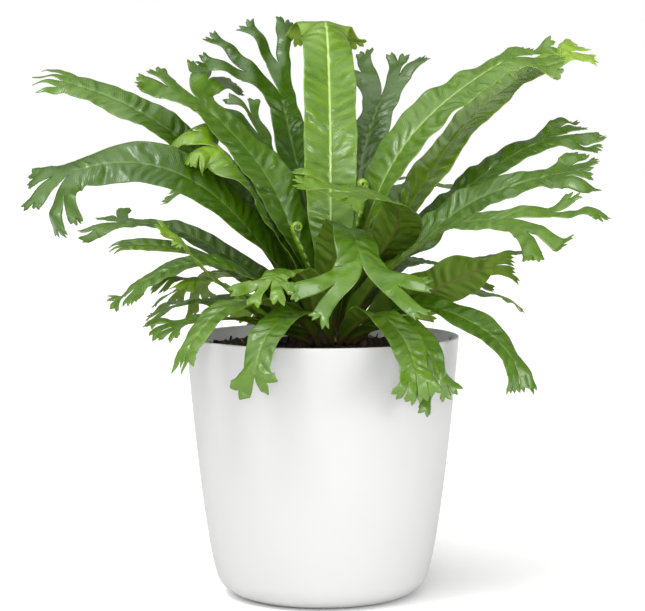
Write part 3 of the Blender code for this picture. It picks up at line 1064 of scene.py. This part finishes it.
@dataclass
class Rosette:
    """The fronds on their crown."""

    crown: Crown
    rim_height: float
    rim_radius: float
    slots: tuple[int, ...] = (16, 14, 12, 9)
    stalk: float = 0.0040
    clearance: float = 0.0020
    cupping: float = 0.25
    row_pitch: float = 0.0014
    cells: int = 32
    root: float = 0.0035

    def past_rim(self, heading: float, out: float, up: float) -> tuple[float, float, float]:
        """A tip outside the pot, from its heading in degrees and its distance past the rim."""
        reach = self.rim_radius + out
        return (reach * np.cos(radians(heading)), reach * np.sin(radians(heading)), up)

    def spring_point(self, frond: Frond) -> Array:
        """Where a frond leaves the crown, just off its surface.

        Args:
            frond: The frond's values.

        Returns:
            The point.
        """
        angle = 2 * np.pi * frond.slot / self.slots[frond.tier]
        share = self.crown.shares[frond.tier]
        radius = float(self.crown.radius_at(np.array(share))) + self.clearance
        height = self.crown.foot + self.crown.height * share
        x, y = self.crown.centre[:2]
        return np.array([x + radius * np.cos(angle), y + radius * np.sin(angle), height])

    def half_width(self, frond: Frond, share: Array, seed: int) -> Array:
        """Half of the blade's width: a stalk that widens as a sine, and narrows by the crest.

        Args:
            frond: The frond's values.
            share: Shares of the blade's length.
            seed: Fixes the margin's unevenness.

        Returns:
            The half widths.
        """
        stalk, full = self.stalk / 2, frond.width / 2
        grown = np.sin(np.pi / 2 * np.clip(share / frond.full_at, 0, 1)) ** 1.05
        narrowed = 1 - frond.narrowing * np.clip(4 * share - 3, 0, 1) ** 2
        uneven = 1 + 0.035 * swell(share[:, None], 0.22, 6, seed) * grown * (1 - smooth(0.9, 1.0, share))
        return (stalk + (full * narrowed - stalk) * grown) * uneven

    def pressed(self, frond: Frond, length: float, seed: int) -> Sheet:
        """The blade and its crest, laid flat.

        Args:
            frond: The frond's values.
            length: The blade's length.
            seed: Fixes its unevenness.

        Returns:
            The flat sheet.
        """
        sheet = Sheet()
        rows = round(length / self.row_pitch)
        along = np.concatenate([[-self.root], np.linspace(0, length, rows)])
        half = self.half_width(frond, np.clip(along / length, 0, 1), seed)
        side = np.linspace(-1, 1, self.cells + 1)
        across = half[:, None] * side
        places = np.dstack([across, np.broadcast_to(along[:, None], across.shape)])
        traits = np.dstack([across, np.broadcast_to(np.abs(side), across.shape), np.zeros(across.shape)])
        last = sheet.strip(None, places, traits)
        Crest(sheet, frond, seed).grow(last, np.array([0.0, length]), half[-1])
        return sheet

    def relief(self, frond: Frond, length: float, flat: Array, traits: Array, seed: int) -> Array:
        """Heights over the flat sheet: cupping, margin waves, ripples at the veins, and a curled crest.

        The margin waves are wave * side^1.8 * sin(along), out of step on the two sides. The
        ripples follow along - 0.55 * |across| and fade at the midrib and the margin.

        Args:
            frond: The frond's values.
            length: The blade's length.
            flat: Distances across and along.
            traits: The strips' own traits.
            seed: Fixes the phases.

        Returns:
            A height for each point.
        """
        draw = np.random.default_rng(seed + 1000)
        across, along = flat.T
        share = np.clip(along / length, 0, 1)
        side, behind = traits[:, 1], traits[:, 2]
        right = across > 0
        blade = smooth(0.10, 0.40, share)
        own = np.column_stack([along, np.where(right, 1.0, -1.0)])
        breadth = np.clip(np.abs(across) / (frond.width / 2), 0, 1.3)
        long_waves = 0.75 * swell(own * (1, 0.5), 0.036, 5, seed + 10)
        short_waves = 0.25 * swell(own * (1, 0.2), 0.014, 4, seed + 11)
        waves = frond.wave * breadth**1.8 * blade * (long_waves + short_waves)
        wander = 0.0035 * swell(flat, 0.05, 5, seed + 12) + 0.0012 * swell(flat, 0.016, 6, seed + 14)
        slant = along - 0.55 * np.abs(across) + wander
        fade = np.sqrt(np.clip(4 * side * (1 - side), 0, 1)) * blade * (1 - smooth(0.0, 0.3, behind))
        strength = 0.6 + 0.7 * swell(flat, 0.022, 6, seed + 13)
        ripples = 0.00078 * strength * np.sin(2 * np.pi * slant / 0.0088 + 2.0 * right) * fade
        ripples += 0.00020 * np.sin(2 * np.pi * slant / 0.0049 + 4.0 * right) * fade
        groove = -0.00035 * np.exp(-((traits[:, 0] / 0.0011) ** 2)) * (1 - smooth(0.0, 0.4, behind))
        cup = (self.cupping + 0.45 * (1 - share) ** 2) * np.abs(across) * (1 - share)
        beyond = np.clip(along - length, 0, None)
        curl = frond.curl * np.where(behind > 0, across**2 + beyond**2, 0)
        dome = 0.38 * frond.nod * across**2 * smooth(0.82, 1.0, share) * (1 - smooth(0.0, 0.5, behind))
        ruffle = 0.0026 * smooth(0.02, 0.9, behind) * swell(flat, 0.030, 7, seed + 2000)
        dish = -0.10 * np.abs(traits[:, 0]) * smooth(0.05, 0.5, behind)
        slow = 0.0016 * np.sin(2 * np.pi * share * 1.4 + draw.uniform(0, 6.3)) * np.sin(np.pi * share)
        return cup + waves + ripples + groove - curl - dome + ruffle + dish + slow

    def grow(self, frond: Frond, seed: int, finishes: list[bpy.types.Material]) -> None:
        """Makes one frond and dresses it.

        Args:
            frond: The frond's values.
            seed: Fixes its unevenness.
            finishes: The finishes of the upper and the under face.
        """
        midrib = Midrib(frond, self.spring_point(frond), self.rim_height)
        length = midrib.length
        sheet = self.pressed(frond, length, seed)
        flat, traits = np.vstack(sheet.places), np.vstack(sheet.traits)
        quads = np.vstack(sheet.quads)
        share = np.clip(flat[:, 1] / length, 0, 1)
        wobble = radians(7) * np.sin(2 * np.pi * (1.1 * share + seed * 0.37)) * smooth(0.15, 0.6, share)
        lift = self.relief(frond, length, flat, traits, seed)
        points = midrib.place(flat, lift, wobble)
        side, behind = traits[:, 1], traits[:, 2]
        margin = smooth(0.70, 1.0, side)
        rib = np.exp(-((traits[:, 0] / 0.0012) ** 2)) * (1 - 0.75 * share) * (1 - smooth(0, 0.3, behind))
        up = 0.00026 - 0.00012 * margin
        down = 0.00026 - 0.00012 * margin + 0.0010 * rib
        surface = Sheet.thickened(points, quads, up, down)
        tone = frond.tone + frond.fresh * smooth(0.75, 1.1, flat[:, 1] / length)
        tone += 0.07 * np.random.default_rng(seed).normal() - 0.16 * (1 - smooth(0.05, 0.45, share))
        surface.traits = {
            "flat": np.tile(np.column_stack([traits[:, 0], flat[:, 1], side]), (2, 1)),
            "tone": np.tile(tone, 2), "crest": np.tile(behind, 2), "share": np.tile(share, 2),
            "rib": np.full(2 * len(share), frond.rib),
        }
        piece_name = frond.name.replace("frond_", "leaf_")
        place_piece(piece_name, surface.mesh(piece_name, finishes), frond.name)

    def table(self) -> list[Frond]:
        """The fronds, each with its solid's values and its looks."""
        past = self.past_rim
        return [
            # The tall fronds at the middle
            Frond("frond_tall_centre", 3, 2.0, (0.002, 0.052, 0.207), 0.035, arch=68, late=5, lobe=0.014,
                  tine=0.022, spread=14, nod=100, full_at=0.5, narrowing=0.16, tone=0.58,
                  wave=0.0018, rib=0.9),
            Frond("frond_tall_left", 3, 3.1, (-0.026, 0.048, 0.150), 0.026, arch=10, spread=28, lean=26,
                  lobe=0.030, tine=0.036, nod=10, curl=0.5, tone=0.16),
            Frond("frond_back_left_short", 2, 4.45, (-0.041, 0.074, 0.124), 0.019, arch=-5, spread=32,
                  lean=22, lobe=0.020, tine=0.024, nod=10, forks=3, tone=0.14),
            Frond("frond_back_right_tall", 2, 2.15, (0.037, 0.069, 0.148), 0.030, arch=30, spread=26,
                  lean=10, lobe=0.034, tine=0.040, nod=10, curl=0.5, tone=0.24),
            # The left side, from the highest down
            Frond("frond_left_highest", 2, 5.3, (-0.170, 0.051, 0.166), 0.026, arch=56, tilt=-30,
                  spread=14, forks=2, nod=20, tone=0.48, fresh=0.14, lobe=0.008, tine=0.026, full_at=0.5),
            Frond("frond_left_upright", 3, 4.45, (-0.077, 0.016, 0.150), 0.034, arch=42, tilt=-30,
                  spread=30, lean=-30, lobe=0.022, tine=0.030, nod=10, full_at=0.42, tone=0.28),
            Frond("frond_left_glossy", 2, 6.3, (-0.065, -0.005, 0.120), 0.034, arch=34, tilt=-22,
                  spread=46, lobe=0.018, tine=0.018, nod=110, full_at=0.4, tone=0.42, fresh=0.30),
            Frond("frond_left_long", 1, 7.8, (-0.156, -0.025, 0.110), 0.034, arch=87, tilt=-43, spread=30,
                  lean=15, lobe=0.022, tine=0.026, nod=50, full_at=0.55, tone=0.38, late=1.6),
            Frond("frond_left_branched", 1, 6.0, (-0.130, 0.050, 0.072), 0.022, arch=52, tilt=-20,
                  spread=42, nod=10, tone=0.42, forks=3),
            Frond("frond_left_narrow", 0, 7.7, (-0.124, -0.004, 0.060), 0.015, arch=60, tilt=-20,
                  spread=8, lobe=0.008, tine=0.012, tone=0.62, forks=2),
            Frond("frond_left_arching", 0, 8.4, past(-160, 0.033, 0.038), 0.021, arch=105, tilt=-20,
                  spread=24, lobe=0.012, tine=0.012, tone=0.40, forks=3),
            Frond("frond_front_left_raised", 1, 8.95, (-0.085, -0.062, 0.060), 0.020, arch=-38, tilt=-25,
                  spread=16, lobe=0.008, tine=0.010, tone=0.62),
            Frond("frond_left_short", 0, 9.1, (-0.080, -0.032, 0.040), 0.017, arch=47, nod=50,
                  lobe=0.012, tine=0.014, tone=0.45, forks=3),
            Frond("frond_left_lower", 0, 6.5, (-0.084, 0.020, 0.022), 0.022, arch=45, tilt=-15,
                  spread=26, tone=0.36, forks=3),
            Frond("frond_left_lowest", 0, 10.2, past(-146, 0.012, 0.014), 0.020, arch=30, spread=26,
                  lobe=0.014, tine=0.016, tone=0.44, tilt=-4, forks=3),
            Frond("frond_front_left_drooping", 0, 11.0, past(-130, 0.038, 0.002), 0.021, arch=105,
                  spread=14, lobe=0.010, tine=0.010, forks=2, tone=0.52),
            Frond("frond_front_drooping", 0, 12.2, past(-110, 0.029, -0.009), 0.024, arch=105, late=1.4,
                  spread=36, lobe=0.014, tine=0.006, forks=2, tone=0.36),
            # The front
            Frond("frond_front_left_arching", 1, 9.25, (-0.030, -0.070, 0.043), 0.022, arch=115, spread=36,
                  lobe=0.010, tine=0.014, tone=0.58, forks=3),
            Frond("frond_front_palmate", 1, 10.7, (0.023, -0.108, 0.060), 0.028, arch=140, spread=46,
                  lobe=0.026, tine=0.030, flare=1.0, nod=40, curl=0.8, narrowing=0.0, tone=0.42, tilt=-10,
                  full_at=0.5),
            Frond("frond_front_right_drooping", 0, 13.0, past(-60, 0.024, -0.010), 0.025, arch=105,
                  late=1.4, spread=22, lobe=0.010, tine=0.012, forks=3, tone=0.52),
            Frond("frond_front_right_forked", 0, 13.85, past(-48, 0.017, -0.015), 0.023, arch=96,
                  late=1.4, spread=28, lobe=0.010, tine=0.014, forks=3, tone=0.42, tilt=7),
            Frond("frond_centre_turned", 2, 10.0, (0.028, -0.084, 0.096), 0.030, arch=60, sway=-170,
                  spread=28, nod=10, curl=0.5, full_at=0.43, tone=0.50, fresh=0.22, tilt=-25, tine=0.024),
            # The right side, from the highest down
            Frond("frond_right_tall", 2, 0.65, (0.118, 0.026, 0.179), 0.036, arch=62, tilt=25, spread=24,
                  tone=0.48, rib=0.5),
            # Its tone is set lighter than its age: painted light on a blade that faces down, away from the
            # lights.
            Frond("frond_right_highest", 2, 1.5, (0.164, 0.066, 0.186), 0.026, arch=40, late=2.5,
                  tilt=30, spread=20, lobe=0.010, tine=0.012, nod=30, forks=3, tone=0.62, fresh=0.20),
            Frond("frond_right_upper", 1, 0.6, (0.146, 0.036, 0.127), 0.026, arch=42, tilt=20, spread=26,
                  nod=15, tone=0.30),
            Frond("frond_right_middle", 1, -0.55, (0.141, -0.038, 0.105), 0.030, arch=53, tilt=35,
                  spread=34, nod=10, curl=1.0, tone=0.48),
            Frond("frond_right_spread", 1, -1.9, (0.108, -0.078, 0.080), 0.028, arch=60, tilt=23,
                  spread=32, lobe=0.026, tine=0.032, nod=10, curl=0.6, tone=0.34),
            Frond("frond_right_pointed", 0, 0.5, (0.130, 0.022, 0.054), 0.024, arch=45, tilt=-10,
                  spread=14, lobe=0.006, tine=0.010, forks=3, tone=0.40),
            Frond("frond_right_broad", 0, -0.2, (0.106, -0.032, 0.047), 0.034, arch=25, tilt=-50,
                  spread=10, full_at=0.40, tone=0.44, lobe=0.010, tine=0.010, forks=3, narrowing=0.62),
            Frond("frond_right_low", 0, 1.3, past(27, 0.044, 0.022), 0.018, arch=40, spread=20,
                  lobe=0.008, tine=0.010, forks=3, tone=0.44),
            Frond("frond_right_drooping", 0, -1.25, past(-27, 0.044, -0.008), 0.021, arch=100, tilt=24,
                  spread=12, lobe=0.012, tine=0.012, forks=3, tone=0.40),
            # The back, which fills the rosette
            Frond("frond_back_upright", 2, 3.3, (0.006, 0.116, 0.116), 0.028, arch=50),
            Frond("frond_back_right_high", 1, 2.1, (0.070, 0.115, 0.098), 0.026, arch=60),
            Frond("frond_back_left_high", 1, 4.9, (-0.075, 0.115, 0.095), 0.026, arch=60, tone=0.40),
            Frond("frond_back_middle", 1, 3.4, (-0.004, 0.145, 0.070), 0.027, arch=80, tone=0.40),
            Frond("frond_back_right_wide", 0, 2.2, past(51, 0.045, 0.040), 0.022, arch=70),
            Frond("frond_back_right_low", 0, 3.25, past(72, 0.047, 0.020), 0.022, arch=88, tone=0.50),
            Frond("frond_back_left_low", 0, 4.4, past(105, 0.045, 0.018), 0.022, arch=90),
            Frond("frond_back_left_wide", 0, 5.4, past(130, 0.041, 0.030), 0.022, arch=70),
        ]

    def young(self) -> list[tuple[Frond, "Coil"]]:
        """The young fronds, each with its coil."""
        return [
            (Frond("frond_young_right", 3, 0.5, (0.030, 0.008, 0.100), 0.011, arch=10, spread=14,
                   lobe=0.004, tine=0.004, nod=10), Coil(radius=0.0036, turns=1.6, coils=1)),
            (Frond("frond_young_left", 3, 6.25, (-0.021, -0.013, 0.072), 0.008, arch=10, spread=14,
                   lobe=0.003, tine=0.003, nod=10), Coil(radius=0.0042, turns=1.5, coils=1)),
            (Frond("frond_young_front", 3, 7.0, (0.002, -0.020, 0.058), 0.011, arch=10, spread=14,
                   lobe=0.004, tine=0.004, nod=10), Coil(radius=0.0052, turns=1.7, coils=2)),
        ]

    def build(self) -> None:
        """Grows every frond."""
        faces = [LeafFinish(LeafFace.UPPER, 0.30).build(), LeafFinish(LeafFace.UNDER, 0.55).build()]
        for seed, frond in enumerate(self.table(), start=1):
            self.grow(frond, seed, faces)
        for seed, (frond, coil) in enumerate(self.young(), start=101):
            midrib = Midrib(frond, self.spring_point(frond), self.rim_height)
            name = frond.name.replace("frond_", "leaf_")
            mesh = coil.surface(midrib, frond.width, seed).mesh(name, faces[:1])
            place_piece(mesh.name, mesh, frond.name)


@dataclass(frozen=True)
class Coil:
    """The coiled end of a young frond: a folded strip wound up towards its upper face."""

    radius: float
    turns: float
    coils: int
    rows: int = 150
    around: int = 20

    def surface(self, midrib: Midrib, width: float, seed: int) -> Surface:
        """Carries a plump crescent along the stem, and then round a coil that tightens.

        The bend's radius falls from radius to a third of it. A second coil is wound beside the
        first, leaning the other way.

        Args:
            midrib: The stem's line.
            width: The strip's width.
            seed: Fixes its unevenness.

        Returns:
            The strip as one closed surface for each coil.
        """
        made = None
        for number in range(self.coils):
            lean = 0.0 if self.coils == 1 else radians(38) * (1 - 2 * number)
            part = self.wound(midrib, width, seed + number, lean)
            made = part if made is None else made.joined(part)
        return made

    def wound(self, midrib: Midrib, width: float, seed: int, lean: float) -> Surface:
        """One coil on its stem.

        Args:
            midrib: The stem's line.
            width: The strip's width.
            seed: Fixes its unevenness.
            lean: How far the coil's plane is turned about the stem, in radians.

        Returns:
            The strip, with a frond's traits.
        """
        stem = midrib.length - self.radius
        wound = self.turns * 2 * np.pi * self.radius * 0.66
        along = np.linspace(-0.003, stem + wound, self.rows)
        past = np.clip((along - stem) / wound, 0, 1)
        share = np.clip(along / stem, 0, 1)
        straight = np.column_stack([np.interp(along, midrib.at, midrib.line[:, k]) for k in range(3)])
        forward, side, face = directions(*midrib.angles(share, midrib.rise, midrib.turn))
        straight += forward * np.minimum(along, 0)[:, None]
        up, flank, inward = forward[-1], side[-1], face[-1]
        leant = flank * np.cos(lean) - inward * np.sin(lean)
        inward = inward * np.cos(lean) + flank * np.sin(lean)
        flank = leant
        bend = self.turns * 2 * np.pi * past ** 1.35
        step = np.gradient(np.clip(along - stem, 0, None))
        heading = np.cos(bend)[:, None] * up + np.sin(bend)[:, None] * inward
        curve = np.cumsum(heading * step[:, None], axis=0)
        end = np.column_stack([np.interp(stem, midrib.at, midrib.line[:, k]) for k in range(3)])[0]
        in_coil = (along > stem)[:, None]
        drift = flank * (0.0022 * past * np.sin(lean))[:, None]
        centre = np.where(in_coil, end + curve + drift, straight)
        facing = np.cos(bend)[:, None] * inward - np.sin(bend)[:, None] * up
        out = np.where(in_coil, facing, face)
        across = np.where(in_coil, flank, side)
        grown = 0.45 + 0.75 * smooth(0.0, 0.40, share) - 0.45 * smooth(0.80, 0.99, share)
        slim = grown * (1 - 0.30 * past) * (1 - smooth(0.93, 1.0, past) * 0.8)
        turn = np.linspace(0, 2 * np.pi, self.around, endpoint=False)
        fold = np.sin(turn) - 0.55 * np.abs(np.cos(turn)) ** 1.5 * (np.sin(turn) > -0.9)
        wide = width / 2 * 0.86 * slim
        thick = width / 2 * 0.36 * slim
        bumps = 1 + 0.10 * np.sin(2 * np.pi * along / 0.006 + seed)[:, None] * (np.abs(np.cos(turn)) > 0.6)
        points = (
            centre[:, None] + across[:, None] * (wide[:, None] * np.cos(turn) * bumps)[..., None]
            - out[:, None] * (thick[:, None] * fold)[..., None]
        )
        ids = np.arange(self.rows * self.around).reshape(self.rows, self.around)
        quads = grid_quads(np.column_stack([ids, ids[:, :1]]))
        caps = [(0, 1), (self.rows - 1, -1)]
        pairs = self.around // 2
        for row, way in caps:
            ring = ids[row][::way]
            back = ring[::-1]
            cap = np.column_stack([
                ring[:pairs - 1], ring[1:pairs], back[:pairs - 1], np.roll(back, 1)[:pairs - 1],
            ])
            quads = np.vstack([quads, cap])
        flat = np.column_stack([
            np.full(points.size // 3, 0.004), np.repeat(along, self.around), np.full(points.size // 3, 0.3),
        ])
        tone = np.repeat(0.40 + 0.42 * smooth(0.55, 1.0, share) + 0.12 * past, self.around)
        traits = {
            "flat": flat, "tone": tone, "crest": np.repeat(past, self.around),
            "share": np.repeat(share, self.around), "rib": np.zeros(self.rows * self.around),
        }
        return Surface(points.reshape(-1, 3), quads, np.zeros(len(quads)), traits)


# ---------------------------------------------------------------- studio


@dataclass
class Studio:
    """A white floor, soft lights and the camera."""

    eye: tuple[float, float, float] = (0.0, -1.5, 0.314)
    aim: tuple[float, float, float] = (0.0, 0.0, 0.1915)
    lens: float = 127.4
    key: tuple[float, float, float] = (-0.38, -0.44, 0.81)
    base: float = 0.34
    gain: float = 2.1

    def lamp(self, name: str, place: tuple, aim: tuple, size: float, power: float) -> None:
        """Adds a square soft light.

        Args:
            name: Its name.
            place: Where it is.
            aim: What it points at.
            size: The length of its side.
            power: Its power in watts.
        """
        light = bpy.data.lights.new(name, "AREA")
        light.size, light.energy = size, power
        lamp = bpy.data.objects.new(name, light)
        lamp.location = place
        lamp.rotation_euler = (Vector(aim) - Vector(place)).to_track_quat("-Z", "Y").to_euler()
        bpy.context.scene.collection.objects.link(lamp)

    def sky(self) -> bpy.types.World:
        """White to the camera; to the plant, a dim room with a broad soft light in it.

        The light's strength is base + gain * step(direction . key).

        Returns:
            The world.
        """
        graph = Graph("studio_white", world=True)
        heading = graph.add("TexCoord").outputs["Generated"]
        key = Vector(self.key).normalized()
        near = graph.add("VectorMath", {0: heading, 1: key}, operation="DOT_PRODUCT")
        glow = graph.step(near.outputs["Value"], 0.35, 0.95)
        power = graph.sum("MULTIPLY_ADD", glow, self.gain, self.base)
        seen = graph.add("LightPath").outputs["Is Camera Ray"]
        power = graph.sum("MAXIMUM", graph.sum("MULTIPLY", power, graph.sum("SUBTRACT", 1.0, seen)), seen)
        return graph.finish(graph.add("Background", {"Color": (1, 1, 1, 1), "Strength": power}).outputs[0])

    def build(self) -> None:
        """Sets up the floor, the lights and the camera."""
        scene = bpy.context.scene
        scene.view_settings.view_transform = "Standard"
        scene.world = self.sky()
        bpy.ops.mesh.primitive_plane_add(size=14.0, location=(0, 3.0, -0.0002))
        floor = bpy.context.object
        floor.name = "floor"
        graph = Graph("floor_white")
        body = graph.add("BsdfPrincipled", {"Base Color": (0.96, 0.96, 0.96, 1), "Roughness": 0.9})
        floor.data.materials.append(graph.finish(body.outputs[0]))
        middle = (0.0, 0.0, 0.20)
        self.lamp("key", (-0.6, -0.8, 1.6), middle, 0.40, 12.0)
        self.lamp("front", (-0.05, -1.6, 0.42), middle, 0.30, 9.0)
        self.lamp("fill", (1.5, -0.9, 0.35), (0.0, 0.0, 0.09), 0.9, 20.0)
        camera = bpy.data.objects.new("camera", bpy.data.cameras.new("camera"))
        camera.data.lens = self.lens
        camera.location = self.eye
        camera.rotation_euler = (Vector(self.aim) - Vector(self.eye)).to_track_quat("-Z", "Y").to_euler()
        scene.collection.objects.link(camera)
        scene.camera = camera


def main() -> None:
    """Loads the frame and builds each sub-assembly."""
    logging.basicConfig(level=logging.INFO, format="%(name)s: %(message)s")
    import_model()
    Studio().build()
    low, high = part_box("pot")
    pot = Pot(radius=high[0], height=high[2])
    pot.build()
    Soil(pot).build()
    low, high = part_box("crown")
    crown = Crown(
        centre=np.array([(low[0] + high[0]) / 2, (low[1] + high[1]) / 2]), foot=low[2],
        radius=(high[0] - low[0]) / 2, height=high[2] - low[2],
    )
    crown.build()
    Rosette(crown, rim_height=pot.height, rim_radius=pot.radius).build()


if __name__ == "__main__":
    main()
